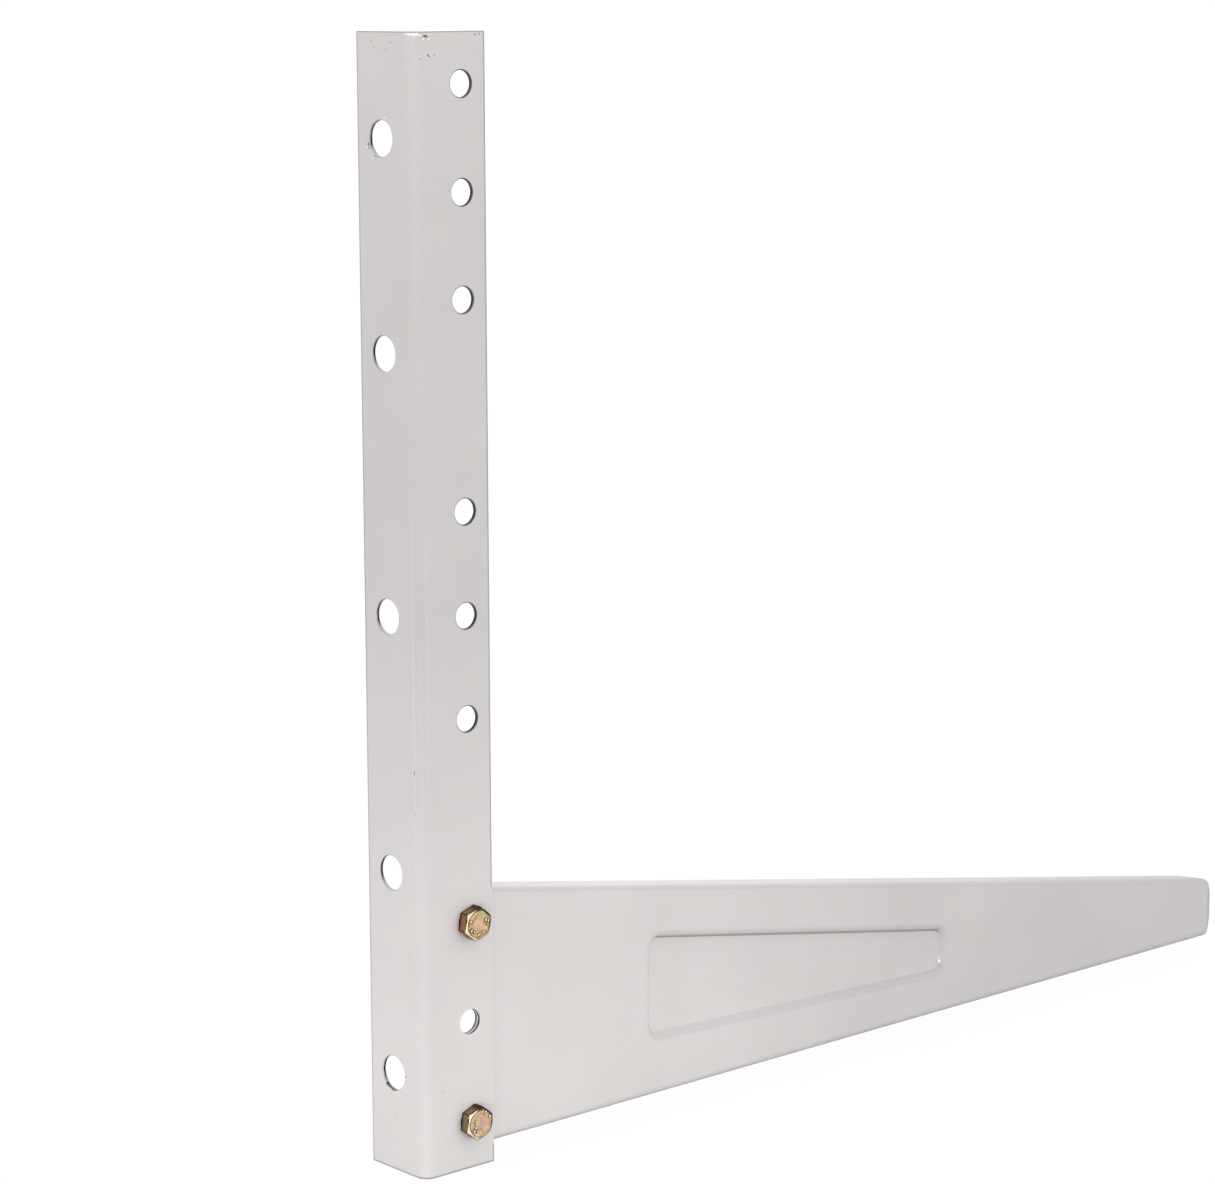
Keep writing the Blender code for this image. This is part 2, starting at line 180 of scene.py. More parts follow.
# The stage. A softbox is given as (name, place, target, side, power, spread in degrees)
FLOOR_REACH = 600.0
FLOOR_GLOW = 1.045
FLOOR_GLOW_SHARE = 0.93
AMBIENT = 1.213
SOFTBOXES = [
    ("pool", (-0.62, -0.72, -0.01), (0.06, 0.0, -0.06), 0.3, 0.1355, 28),
    ("heel_left", (-0.9, 0.35, 0.0), (0.0, 0.0, -0.02), 0.3, 0.0930, 36),
    ("heel_right", (0.35, -0.9, 0.03), (0.08, 0.0, -0.01), 0.3, 0.0870, 44),
    ("crown_right", (0.4, -0.9, 0.8), (0.03, 0.0, 0.56), 0.3, 0.0083, 36),
    ("crown_front", (-0.62, -0.72, 0.80), (0.0, -0.02, 0.53), 0.2, 0.0427, 30),
]

# How far the ragged edge of a chip or burr strays
SPOT_STRAY = 0.0011

# Chips of the upright's coat, as (X, Y, Z, radius)
UPRIGHT_CHIPS = [
    (0, 0.0062, 0.5326, 0.0004), (0, 0.0040, 0.5299, 0.0003), (0, -0.0080, 0.5323, 0.0004),
    (0, -0.0049, 0.5286, 0.0003), (0, -0.0101, 0.5287, 0.0003), (0, 0.0092, 0.4852, 0.0008),
    (0, 0.0088, 0.4836, 0.0006), (0, -0.0012, 0.0175, 0.0004), (0, 0.0031, 0.4797, 0.0006),
    (0.0001, 0.0043, 0.4803, 0.0006), (0.0076, SIDE_FACE_Y, 0.5350, 0.0007),
    (0.0086, SIDE_FACE_Y, 0.5349, 0.0007), (0.0094, SIDE_FACE_Y, 0.5346, 0.0005),
    (0.0098, SIDE_FACE_Y, 0.5264, 0.0005), (0.0103, SIDE_FACE_Y, 0.5258, 0.0005),
    (0.0133, SIDE_FACE_Y, 0.5264, 0.0004), (0.0051, SIDE_FACE_Y, 0.5247, 0.0003),
    (0.0377, SIDE_FACE_Y, 0.5354, 0.0005), (0.0401, SIDE_FACE_Y, 0.5356, 0.0005),
    (0.0316, SIDE_FACE_Y, 0.5211, 0.0003), (0.0115, SIDE_FACE_Y, 0.0315, 0.0004),
    (0.0002, -0.0189, 0.1909, 0.0005), (0.0002, -0.0188, 0.1897, 0.0005),
    (0.0001, -0.0187, 0.1987, 0.0003), (0.0002, -0.0190, 0.1702, 0.0003),
    (0.0002, -0.0189, 0.1676, 0.0003), (0, -0.0127, 0.0987, 0.0003),
    (0.0002, -0.0190, 0.1024, 0.0003),
]

# Where the coat is off the rim of the lowest anchor hole, in the same form
BARE_RIM = [
    (0.0003, 0.0054, 0.0314, 0.0011), (0.0003, 0.0042, 0.0306, 0.0009),
    (0.0003, 0.0030, 0.0301, 0.0008), (0.0003, 0.0016, 0.0296, 0.0008),
    (0.0003, 0.0002, 0.0294, 0.0008), (0.0003, -0.0012, 0.0296, 0.0007),
    (0.0002, -0.0092, 0.0381, 0.0008),
]

# Burrs of bright metal: along the fold's upper end, and beside the worst anchor holes
UPRIGHT_BURRS = [
    (0.0004, -0.0192, 0.5360, 0.0006), (0.0010, -0.0203, 0.5358, 0.0008),
    (0.0018, -0.0214, 0.5359, 0.0007), (0.0027, -0.0223, 0.5357, 0.0008),
    (0.0039, -0.0230, 0.5358, 0.0008), (0.0052, -0.0234, 0.5356, 0.0006),
    (0.0072, SIDE_FACE_Y, 0.5338, 0.0005), (0.0103, SIDE_FACE_Y, 0.5337, 0.0005),
    (0, 0.0101, 0.4838, 0.0005), (0, 0.0061, 0.4789, 0.0005), (0, -0.0030, 0.4976, 0.0005),
    (0, -0.0040, 0.0286, 0.0003), (0.0108, SIDE_FACE_Y, 0.5273, 0.0003),
]

# A painted glint on the arm, at the right end of the panel: a spot of bright bare metal in place of a
# highlight
ARM_GLINT = [(0.3671, -0.0184, 0.0270, 0.0009), (0.3672, -0.0184, 0.0286, 0.0006)]

# Bands of painted shade along the outer edges, as (axis, where a band starts, where it is full)
FOOT_RIM_SHADE = ("Z", UPRIGHT_FOOT + 0.0014, UPRIGHT_FOOT + 0.0008)
WALL_RIM_SHADE = ("Y", WALL_EDGE_Y - 0.0014, WALL_EDGE_Y - 0.0008)
UPRIGHT_RIM_SHADE = [("X", SIDE_FLANGE - 0.0014, SIDE_FLANGE - 0.0008), WALL_RIM_SHADE, FOOT_RIM_SHADE]
ARM_RIM_SHADE = [("X", ARM_REACH - 0.0030, ARM_REACH - 0.0008)]
BEVEL_RIM_SHADE = [("X", 0.015, 0.016), WALL_RIM_SHADE, FOOT_RIM_SHADE]

# Raised marks on each head, as (X and Z from the middle of its face, lean, length, width)
UPPER_MARKS = [
    (-0.0053, 0.0021, 1.3, 0.0012, 0.0009), (-0.0055, 0.0005, 1.7, 0.0009, 0.0007),
    (0.0042, 0.0014, 1.5, 0.0016, 0.0007), (0.0056, 0.0009, 1.4, 0.0013, 0.0006),
    (-0.0048, -0.0024, 1.1, 0.0018, 0.0007), (-0.0030, -0.0033, 2.2, 0.0012, 0.0006),
    (-0.0004, -0.0052, 0.3, 0.0014, 0.0007), (0.0022, -0.0040, 0.9, 0.0012, 0.0006),
]
LOWER_MARKS = [
    (0.0030, 0.0053, 0.6, 0.0012, 0.0009), (0.0020, 0.0043, 2.3, 0.0008, 0.0006),
    (0.0055, 0.0026, 1.4, 0.0013, 0.0008), (-0.0030, -0.0016, 1.2, 0.0014, 0.0008),
    (-0.0042, -0.0030, 0.9, 0.0013, 0.0009), (-0.0021, -0.0036, 0.5, 0.0013, 0.0008),
    (-0.0034, 0.0021, 1.0, 0.0006, 0.0005), (-0.0036, 0.0005, 1.0, 0.0006, 0.0005),
]

# Each head's colours: its left flat, and the darker and the lighter parts of its face, painted paler than
# the flats as a painted reflection
UPPER_PALETTE = [(0.40, 0.17, 0.10), (0.46, 0.27, 0.13), (0.70, 0.52, 0.27)]
LOWER_PALETTE = [(0.25, 0.23, 0.13), (0.54, 0.36, 0.21), (0.72, 0.56, 0.34)]

# The tints of each head's face, as (X and Z from its middle, radius, colour)
UPPER_TINTS = [
    (0.0014, 0.0036, 0.0034, (0.50, 0.45, 0.22)), (0.0004, -0.0004, 0.0036, (0.74, 0.45, 0.36)),
    (-0.0045, -0.0020, 0.0020, (0.42, 0.36, 0.17)), (0.0038, 0.0004, 0.0018, (0.42, 0.24, 0.13)),
    (-0.0020, -0.0052, 0.0018, (0.60, 0.33, 0.17)),
]
LOWER_TINTS = [
    (0.0018, 0.0004, 0.0046, (0.66, 0.38, 0.31)), (-0.0030, 0.0034, 0.0024, (0.58, 0.46, 0.26)),
    (-0.0040, -0.0020, 0.0022, (0.50, 0.34, 0.19)),
]


# Meshes

def arc(centre, radius, start, end, steps):
    """Points of an arc in a plane, from one angle to another, ends included."""
    angles = [start + (end - start) * i / steps for i in range(steps + 1)]
    return [(centre[0] + radius * cos(a), centre[1] + radius * sin(a)) for a in angles]


def rounded_outline(corners, radii):
    """A polygon's outline with its corners replaced by arcs. A radius of 0 keeps the corner."""
    points = []
    for i, (corner, radius) in enumerate(zip(corners, radii)):
        here = Vector(corner)
        if not radius:
            points.append(tuple(here))
            continue
        back = (Vector(corners[i - 1]) - here).normalized()
        ahead = (Vector(corners[(i + 1) % len(corners)]) - here).normalized()
        half = back.angle(ahead) / 2
        middle = here + (back + ahead).normalized() * (radius / sin(half))
        start = here + back * (radius / tan(half)) - middle
        end = here + ahead * (radius / tan(half)) - middle
        sweep = start.angle_signed(end)
        for k in range(CORNER_STEPS + 1):
            a = -sweep * k / CORNER_STEPS
            x = start.x * cos(a) - start.y * sin(a)
            y = start.x * sin(a) + start.y * cos(a)
            points.append((middle.x + x, middle.y + y))
    return points


def circle(centre, diameter, roughness=0.0, seed=0.0):
    """A round hole's outline. Roughness is how far the edge strays from the circle.

    The seed also turns the points, so that those of holes in line don't make faces without width.
    """
    points = []
    for i in range(HOLE_SIDES):
        a = 2 * pi * (i + seed % 1) / HOLE_SIDES
        stray = noise.noise(Vector((3 * cos(a), 3 * sin(a), seed)))
        stray += 0.6 * noise.noise(Vector((9 * cos(a), 9 * sin(a), seed + 7)))
        radius = diameter / 2 + roughness * stray
        points.append((centre[0] + radius * cos(a), centre[1] + radius * sin(a)))
    return points


def slot(start, end, y, width):
    """Outline of a slot with round ends."""
    radius = width / 2
    far = arc((end - radius, y), radius, -pi / 2, pi / 2, HOLE_SIDES // 2)
    return far + arc((start + radius, y), radius, pi / 2, 1.5 * pi, HOLE_SIDES // 2)


class Skin:
    """The outer face of a folded sheet, put together before the sheet gets its thickness."""

    def __init__(self):
        self.bm = bmesh.new()
        self.known = {}

    def vertex(self, point):
        key = tuple(round(c * 1e6) for c in point)
        if key not in self.known:
            self.known[key] = self.bm.verts.new(point)
        return self.known[key]

    def strip(self, one, other, closed=False):
        """Faces between two rows of points."""
        for i in range(len(one) - (not closed)):
            j = (i + 1) % len(one)
            self.bm.faces.new([self.vertex(p) for p in (one[i], one[j], other[j], other[i])])

    def flat(self, *loops):
        """A flat face between an outline and the outlines of its holes."""
        edges = []
        for loop in loops:
            corners = [self.vertex(p) for p in loop]
            for a, b in zip(corners, corners[1:] + corners[:1]):
                edges.append(self.bm.edges.get((a, b)) or self.bm.edges.new((a, b)))
        bmesh.ops.triangle_fill(self.bm, use_beauty=True, edges=edges)


def new_object(name, bm, materials):
    mesh = bpy.data.meshes.new(name)
    bm.to_mesh(mesh)
    bm.free()
    mesh.shade_smooth()
    obj = bpy.data.objects.new(name, mesh)
    bpy.context.scene.collection.objects.link(obj)
    for material in materials:
        mesh.materials.append(material)
    return obj


def make_sheet(name, skin, outward, materials):
    """Gives the skin its thickness, and rounds its cut edges.

    The materials are those of the faces, the cut edges and their rounding.
    """
    bm = skin.bm
    bmesh.ops.recalc_face_normals(bm, faces=bm.faces)
    largest = max(bm.faces, key=lambda face: face.calc_area())
    if largest.normal.dot(Vector(outward)) < 0:
        bmesh.ops.reverse_faces(bm, faces=bm.faces)
    sheet = new_object(name, bm, materials)
    thickness = sheet.modifiers.new("thickness", "SOLIDIFY")
    thickness.thickness = SHEET
    thickness.offset = -1
    thickness.material_offset_rim = 1
    rounding = sheet.modifiers.new("cut edges", "BEVEL")
    rounding.limit_method = "ANGLE"
    rounding.angle_limit = EDGE_ANGLE
    rounding.width = EDGE_ROUNDING
    rounding.segments = EDGE_STEPS
    rounding.material = 2
    rounding.harden_normals = True
    rounding.use_clamp_overlap = False
    rounding.loop_slide = False
    return sheet


def upright_sheet(materials):
    """The angle: a flange on the wall with the anchor holes and one standing out with the bolt holes.

    It is put together from lengths with one hole at most in each flange, so that all faces are broad.
    """
    low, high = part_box("upright")
    bend = arc((FOLD_RADIUS, SIDE_FACE_Y + FOLD_RADIUS), FOLD_RADIUS, pi, 1.5 * pi, BEND_STEPS)
    line = [(0, bend[0][1] + RUN_IN), *bend, (FOLD_RADIUS + RUN_IN, SIDE_FACE_Y)]
    worn = (ANCHOR_HEIGHTS[0], ANCHOR_HEIGHTS[-1])
    levels = (low.z, *UPRIGHT_JOINS, high.z)
    skin = Skin()
    for bottom, top in zip(levels, levels[1:]):
        for one, other in zip(line, line[1:]):
            skin.strip([(*one, bottom), (*one, top)], [(*other, bottom), (*other, top)])
        anchors = [z for z in ANCHOR_HEIGHTS if bottom < z < top]
        wall = [[(high.y, bottom), (line[0][1], bottom), (line[0][1], top), (high.y, top)]]
        for z in anchors:
            stray = WORN_EDGE if z in worn else EVEN_EDGE
            wall.append(circle((0, z), ANCHOR_HOLE, stray, UPRIGHT_SEED * z))
        skin.flat(*[[(0, y, z) for y, z in loop] for loop in wall])
        bolts = [z for z in ARM_HOLE_HEIGHTS + FREE_HOLE_HEIGHTS if bottom < z < top]
        side = [[(line[-1][0], bottom), (high.x, bottom), (high.x, top), (line[-1][0], top)]]
        side += [circle((SIDE_HOLE_X, z), SIDE_HOLE, EVEN_EDGE, UPRIGHT_SEED * z) for z in bolts]
        skin.flat(*[[(x, SIDE_FACE_Y, z) for x, z in loop] for loop in side])
    return make_sheet("upright_sheet", skin, (-1, -1, 0), materials)


def lip_height(x):
    """Height of the lip's upper face at a distance from the wall."""
    return LIP_AT_WALL - LIP_FALL * x


def arm_bends(x):
    """The two bends of the arm's outer face at a distance from the wall, as points in Y and Z."""
    r = ARM_BEND_RADIUS
    y = WEB_FACE_Y + r
    lower = [(y + RUN_IN, -SHEET), *arc((y, r - SHEET), r, 1.5 * pi, pi, BEND_STEPS)]
    lower.append((WEB_FACE_Y, r - SHEET + RUN_IN))
    r = LIP_BEND_RADIUS
    y = WEB_FACE_Y + r
    upper = [(WEB_FACE_Y, -r - RUN_IN), *arc((y, -r), r, pi, 0.5 * pi, BEND_STEPS), (y + RUN_IN, 0)]
    return lower, [(y, lip_height(x) + drop * LIP_SLOPE) for y, drop in upper]


def panel_outline(inset):
    """Outline of the pressed panel in X and Z, moved inwards by an inset on every side."""
    rise = (PANEL_HEIGHT_AT_END - PANEL_HEIGHT_AT_START) / PANEL_LENGTH
    left = PANEL_START + inset
    right = PANEL_START + PANEL_LENGTH - inset

    def bottom(x):
        return PANEL_HEIGHT_AT_START - SHEET + rise * (x - PANEL_START) + inset * hypot(1, rise)

    def top(x):
        return lip_height(x) - PANEL_BELOW_LIP - inset * LIP_SLOPE

    corners = [(left, bottom(left)), (right, bottom(right)), (right, top(right)), (left, top(left))]
    return rounded_outline(corners, 4 * [PANEL_CORNER - inset])


def panel_rings():
    """Rings from the web to the panel's floor: a wide round shoulder, then a tight crease."""
    lean = 2 * atan2(PANEL_DEPTH, PANEL_WALL)
    shoulder = PANEL_WALL / sin(lean) - PANEL_CREASE
    places = [(-RUN_IN, 0.0)]
    for k in range(BEND_STEPS + 1):
        a = lean * k / BEND_STEPS
        places.append((shoulder * sin(a), shoulder * (1 - cos(a))))
    for k in range(1, BEND_STEPS // 2 + 1):
        a = lean * (1 - 2 * k / BEND_STEPS)
        places.append((PANEL_WALL - PANEL_CREASE * sin(a), PANEL_DEPTH - PANEL_CREASE * (1 - cos(a))))
    places.append((PANEL_WALL + RUN_IN, PANEL_DEPTH))
    return [[(x, WEB_FACE_Y + depth, z) for x, z in panel_outline(inset)] for inset, depth in places]


def set_back(radius, past):
    """How far a rounded corner draws the sheet's end back at a distance past the start of its curve."""
    return radius - sqrt(radius**2 - max(0.0, past) ** 2)


def distances(points):
    """How far each point is from the first one, measured along their line."""
    lengths = [0.0]
    for a, b in zip(points, points[1:]):
        lengths.append(lengths[-1] + hypot(b[0] - a[0], b[1] - a[1]))
    return lengths


def arm_sheet(materials):
    """The tapered channel: a wide slotted flange below, a web with the panel, and a narrow lip above.

    The corners of its tip were rounded while the sheet was flat, so their curves run round the bends.
    """
    low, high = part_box("arm")
    near, far = arm_bends(low.x), arm_bends(high.x)
    skin = Skin()

    def foot_end(past):
        return high.x - set_back(TIP_FOOT_CORNER, min(past, TIP_FOOT_END))

    def lip_end(past):
        return high.x - set_back(TIP_LIP_CORNER, past)

    def line_along(start, end, reach):
        a, b = Vector((low.x, *start)), Vector((high.x, *end))
        return [tuple(a), tuple(a.lerp(b, (reach - low.x) / (high.x - low.x)))]

    foot_start = TIP_FOOT_START - far[0][-1][1]
    foot_past = [foot_start + d for d in distances(far[0][::-1])][::-1]
    lip_width = LIP_EDGE_Y - far[1][-1][0]
    lip_past = [TIP_LIP_CORNER - lip_width - d for d in distances(far[1][::-1])][::-1]
    foot = [line_along(*ends, foot_end(past)) for *ends, past in zip(near[0], far[0], foot_past)]
    top = [line_along(*ends, lip_end(past)) for *ends, past in zip(near[1], far[1], lip_past)]
    for lines in (foot, top):
        for one, other in zip(lines, lines[1:]):
            skin.strip(one, other)

    rings = panel_rings()
    for one, other in zip(rings, rings[1:]):
        skin.strip(one, other, closed=True)
    skin.flat(rings[-1])
    tip = []
    for k in range(1, CORNER_STEPS + 1):
        past = foot_past[-1] * (1 - k / CORNER_STEPS)
        tip.append((foot_end(past), WEB_FACE_Y, TIP_FOOT_START - past))
    for k in range(CORNER_STEPS):
        past = lip_past[0] * k / CORNER_STEPS
        tip.append((lip_end(past), WEB_FACE_Y, top[0][1][2] + past - lip_past[0]))
    web = [foot[-1][0], foot[-1][1], *tip, top[0][1], top[0][0]]
    holes = [circle((SIDE_HOLE_X, z), SIDE_HOLE, EVEN_EDGE, ARM_SEED * z) for z in ARM_HOLE_HEIGHTS]
    skin.flat(web, rings[0], *[[(x, WEB_FACE_Y, z) for x, z in hole] for hole in holes])

    heel, tip_end = foot[0]
    flange = [heel[:2], tip_end[:2], (tip_end[0], LOAD_FLANGE_EDGE_Y), (low.x, LOAD_FLANGE_EDGE_Y)]
    flange = rounded_outline(flange, (0, 0, SHEET_CORNER, SHEET_CORNER))
    slots = [slot(*reach, SLOT_Y, SLOT_WIDTH) for reach in SLOTS]
    skin.flat(*[[(x, y, -SHEET) for x, y in loop] for loop in (flange, *slots)])
    lip = [top[-1][0][:2], top[-1][1][:2]]
    for k in range(1, 2 * CORNER_STEPS + 1):
        beside = lip_width * (1 - k / (2 * CORNER_STEPS))
        lip.append((lip_end(TIP_LIP_CORNER - beside), LIP_EDGE_Y - beside))
    lip = rounded_outline([*lip, (low.x, LIP_EDGE_Y)], (*[0] * len(lip), SHEET_CORNER))
    skin.flat([(x, y, lip_height(x)) for x, y in lip])
    return make_sheet("arm_sheet", skin, (0, -1, 0), materials)


def hexagon_radii():
    """Distance from the axis to a hexagon with rounded corners, as (angle, radius) pairs.

    At angle 0 lies a corner.
    """
    apothem = ACROSS_FLATS / 2
    rho = HEX_CORNER_RADIUS
    middle = apothem / cos(pi / 6) - rho / sin(pi / 3)
    reach = atan2(rho * sin(pi / 6), middle + rho * cos(pi / 6))
    steps = HEX_CORNER_STEPS
    corner = [reach * (2 * k / steps - 1) for k in range(steps + 1)]
    side = [reach + (pi / 3 - 2 * reach) * k / steps for k in range(1, steps)]
    pairs = []
    for i in range(6):
        for d in corner:
            radius = middle * cos(d) + sqrt(rho**2 - (middle * sin(d)) ** 2)
            pairs.append((i * pi / 3 + d, radius))
        for d in side:
            pairs.append((i * pi / 3 + d, apothem / cos(d - pi / 6)))
    return pairs


def rounded_profile(points, radii):
    """A profile of (radius, height) points with its corners replaced by curves."""
    result = []
    for i, (point, radius) in enumerate(zip(points, radii)):
        here = Vector(point)
        if not radius:
            result.append(tuple(here))
            continue
        back = Vector(points[i - 1]) - here
        ahead = Vector(points[i + 1]) - here
        reach = min(radius, 0.45 * back.length, 0.45 * ahead.length)
        start = here + back.normalized() * reach
        end = here + ahead.normalized() * reach
        for k in range(PROFILE_STEPS + 1):
            t = k / PROFILE_STEPS
            result.append(tuple(start * (1 - t) ** 2 + here * 2 * t * (1 - t) + end * t**2))
    return result


def add_turned(bm, profiles, angles):
    """A surface round Z from one profile for each angle."""
    columns = []
    for profile, a in zip(profiles, angles):
        columns.append([Vector((r * cos(a), r * sin(a), z)) for r, z in profile])
    rows = list(zip(*columns))
    rings = [[bm.verts.new(p) for p in row] for row in rows]
    for low, high in zip(rings, rings[1:]):
        for i in range(len(low)):
            j = (i + 1) % len(low)
            bm.faces.new((low[i], low[j], high[j], high[i]))


def add_hexagon(bm, profile_at, turn):
    """A hexagon whose section at a corner or side of a given radius comes from profile_at.

    Returns its angles.
    """
    pairs = hexagon_radii()
    angles = [a + turn + pi / 6 for a, _ in pairs]
    add_turned(bm, [profile_at(radius) for _, radius in pairs], angles)
    return angles


def thread_groove(phase):
    """Depth of the thread at a place in its pitch, from 0 on the crest to 1 at the root."""
    away = abs((phase % 1.0) - 0.5) * 2
    return min(1.0, max(0.0, (1 - away - THREAD_CREST) / THREAD_FLANK))


def add_thread(bm, start, end, radius_at, angles, closed_ends):
    """A thread round Z, with a column at each angle.

    radius_at turns a height and a groove depth into a radius.
    """
    rows = THREAD_ROWS
    first = -rows
    last = int((end - start) / THREAD_PITCH * rows) + rows
    grid = []
    for a in (*angles, angles[0] + 2 * pi):
        turned = (a - angles[0]) / (2 * pi)
        column = []
        for j in range(first, last + 1):
            z = start + (j / rows + turned) * THREAD_PITCH
            z = min(max(z, start), end)
            groove = thread_groove((z - start) / THREAD_PITCH - turned)
            r = radius_at(z, groove)
            column.append(bm.verts.new((r * cos(a), r * sin(a), z)))
        grid.append(column)
    for one, other in zip(grid, grid[1:]):
        for j in range(len(one) - 1):
            bm.faces.new((one[j], other[j], other[j + 1], one[j + 1]))
    if closed_ends:
        for z, pick in ((start, 0), (end, -1)):
            centre = bm.verts.new((0, 0, z))
            for one, other in zip(grid, grid[1:]):
                bm.faces.new((one[pick], other[pick], centre))


def add_mark(bm, centre, angle, length, width, level, height):
    """A small raised bead with round ends on a face across Z, standing toward -Z."""
    along = Vector((cos(angle), sin(angle), 0))
    across = Vector((-sin(angle), cos(angle), 0))
    middle = Vector((*centre, level))
    outline = slot(-length / 2, length / 2, 0, width)[:: HOLE_SIDES // MARK_SIDES]
    rings = []
    for share, rise in MARK_SECTION:
        inset = width / 2 * (1 - share)
        ring = []
        for u, v in outline:
            size = hypot(u, v)
            u, v = (u * (1 - inset / size), v * (1 - inset / size)) if size else (u, v)
            ring.append(bm.verts.new(middle + along * u + across * v - Vector((0, 0, rise * height))))
        rings.append(ring)
    for one, other in zip(rings, rings[1:]):
        for i in range(len(one)):
            j = (i + 1) % len(one)
            bm.faces.new((one[i], one[j], other[j], other[i]))
    bm.faces.new(rings[-1])
    bm.faces.new(rings[0][::-1])


def lay_on_side(bm, y, z):
    """Turns a fastener made about Z so that it points along +Y, and sets it in its hole."""
    bm.transform(Matrix.Translation((BOLT_X, y, z)) @ Matrix.Rotation(-pi / 2, 4, "X"))
    bmesh.ops.remove_doubles(bm, verts=bm.verts, dist=1e-6)
    bmesh.ops.dissolve_degenerate(bm, edges=bm.edges, dist=1e-6)
    bmesh.ops.recalc_face_normals(bm, faces=bm.faces)


def make_bolt(name, z, turn, marks, zinc):
    """A hexagon bolt: forged head with raised marks, and a threaded shank with a chamfered end."""
    bm = bmesh.new()
    face = HEAD_HEIGHT - MARK_HEIGHT

    def head(radius):
        shoulder = -face + (radius - HEX_FACE_RADIUS) * tan(pi / 6)
        points = [
            (0, 0),
            (radius, 0),
            (radius, shoulder),
            (HEX_FACE_RADIUS, -face),
            (HEAD_FLAT_RADIUS, -face),
            (0, -face),
        ]
        return rounded_profile(points, (0, HEAD_SEAT_RADIUS, HEX_EDGE_RADIUS, HEX_EDGE_RADIUS, 0, 0))

    def shank(z, groove):
        chamfered = THREAD_RADIUS - max(0.0, z - (BOLT_LENGTH - THREAD_CHAMFER))
        return min(chamfered, THREAD_RADIUS - THREAD_DEPTH * groove)

    add_hexagon(bm, head, turn)
    sides = [2 * pi * i / THREAD_SIDES for i in range(THREAD_SIDES)]
    add_thread(bm, THREAD_START, BOLT_LENGTH, shank, sides, closed_ends=True)
    for x, z_up, lean, length, width in marks:
        add_mark(bm, (x, -z_up), -lean, length, width, -face, MARK_HEIGHT)
    lay_on_side(bm, HEAD_SEAT_Y, z)
    return finish_fastener(name, bm, zinc)


def make_nut(name, z, turn, zinc):
    """A hexagon nut, chamfered at both ends, with a threaded and countersunk bore."""
    bm = bmesh.new()

    def section(radius):
        run = (radius - HEX_FACE_RADIUS) * tan(pi / 6)
        points = [
            (COUNTERSINK_RADIUS, 0),
            (HEX_FACE_RADIUS, 0),
            (radius, run),
            (radius, NUT_HEIGHT - run),
            (HEX_FACE_RADIUS, NUT_HEIGHT),
            (COUNTERSINK_RADIUS, NUT_HEIGHT),
        ]
        return rounded_profile(points, (0, *4 * [HEX_EDGE_RADIUS], 0))

    def bore(z, groove):
        mouth = COUNTERSINK_RADIUS - min(z, NUT_HEIGHT - z)
        return max(NUT_BORE_RADIUS, mouth, NUT_BORE_RADIUS + NUT_GROOVE_DEPTH * groove)

    angles = add_hexagon(bm, section, turn)
    add_thread(bm, 0, NUT_HEIGHT, bore, angles, closed_ends=False)
    lay_on_side(bm, NUT_SEAT_Y, z)
    return finish_fastener(name, bm, zinc)


def finish_fastener(name, bm, zinc):
    obj = new_object(name, bm, (zinc,))
    obj.data.set_sharp_from_angle(angle=SHARP_ANGLE)
    return obj


# Materials

def new_material(name):
    material = bpy.data.materials.new(name)
    material.use_nodes = True
    return material, material.node_tree, material.node_tree.nodes["Principled BSDF"]


def scaled(colour, share):
    return tuple(share * c for c in colour)


def add_node(tree, kind, inputs=None, **settings):
    """A node with its settings, and with its inputs set to values or linked to other nodes' outputs."""
    node = tree.nodes.new(kind)
    for key, value in settings.items():
        setattr(node, key, value)
    for key, value in (inputs or {}).items():
        if isinstance(value, bpy.types.NodeSocket):
            tree.links.new(value, node.inputs[key])
        else:
            node.inputs[key].default_value = value
    return node


def add_noise(tree, place, scale, detail=2.0, roughness=0.5):
    settings = {"Vector": place, "Scale": scale, "Detail": detail, "Roughness": roughness}
    return add_node(tree, "ShaderNodeTexNoise", settings).outputs["Fac"]


def add_range(tree, value, start, end, low, high):
    """Turns the range from start to end into the one from low to high, and stays within it."""
    settings = {"Value": value, "From Min": start, "From Max": end, "To Min": low, "To Max": high}
    return add_node(tree, "ShaderNodeMapRange", settings).outputs["Result"]


def add_mask(tree, value, start, end):
    """A mask that is 0 at the start of a range and 1 at its end. The end may be the lower one."""
    return add_range(tree, value, start, end, 0.0, 1.0)


def add_mix(tree, factor, one, other):
    """Mixes two colours."""
    inputs = {0: factor}
    for index, colour in ((6, one), (7, other)):
        inputs[index] = colour if isinstance(colour, bpy.types.NodeSocket) else (*colour, 1.0)
    return add_node(tree, "ShaderNodeMix", inputs, data_type="RGBA").outputs[2]


def add_product(tree, one, other):
    """Multiplies two colours."""
    settings = {"data_type": "RGBA", "blend_type": "MULTIPLY"}
    return add_node(tree, "ShaderNodeMix", {0: 1.0, 6: one, 7: other}, **settings).outputs[2]


def add_math(tree, operation, one, *others):
    """Does an operation with a value and each of the others in turn."""
    for other in others:
        one = add_node(tree, "ShaderNodeMath", {0: one, 1: other}, operation=operation).outputs[0]
    return one


def square(tree, value):
    return add_math(tree, "MULTIPLY", value, value)


def add_vector(tree, operation, *values):
    return add_node(tree, "ShaderNodeVectorMath", dict(enumerate(values)), operation=operation).outputs[0]


def parts_of(tree, vector):
    """The parts of a vector, as outputs named X, Y and Z."""
    return add_node(tree, "ShaderNodeSeparateXYZ", {0: vector}).outputs


def distance_to(tree, place, point):
    inputs = {0: place, 1: point}
    return add_node(tree, "ShaderNodeVectorMath", inputs, operation="DISTANCE").outputs["Value"]


def add_ridge(tree, value, start, end):
    """A mask that is 1 where a value lies between two others, with soft ends."""
    soft = 0.25 * (end - start)
    rising = add_mask(tree, value, start, start + soft)
    falling = add_mask(tree, value, end, end - soft)
    return add_math(tree, "MINIMUM", rising, falling)


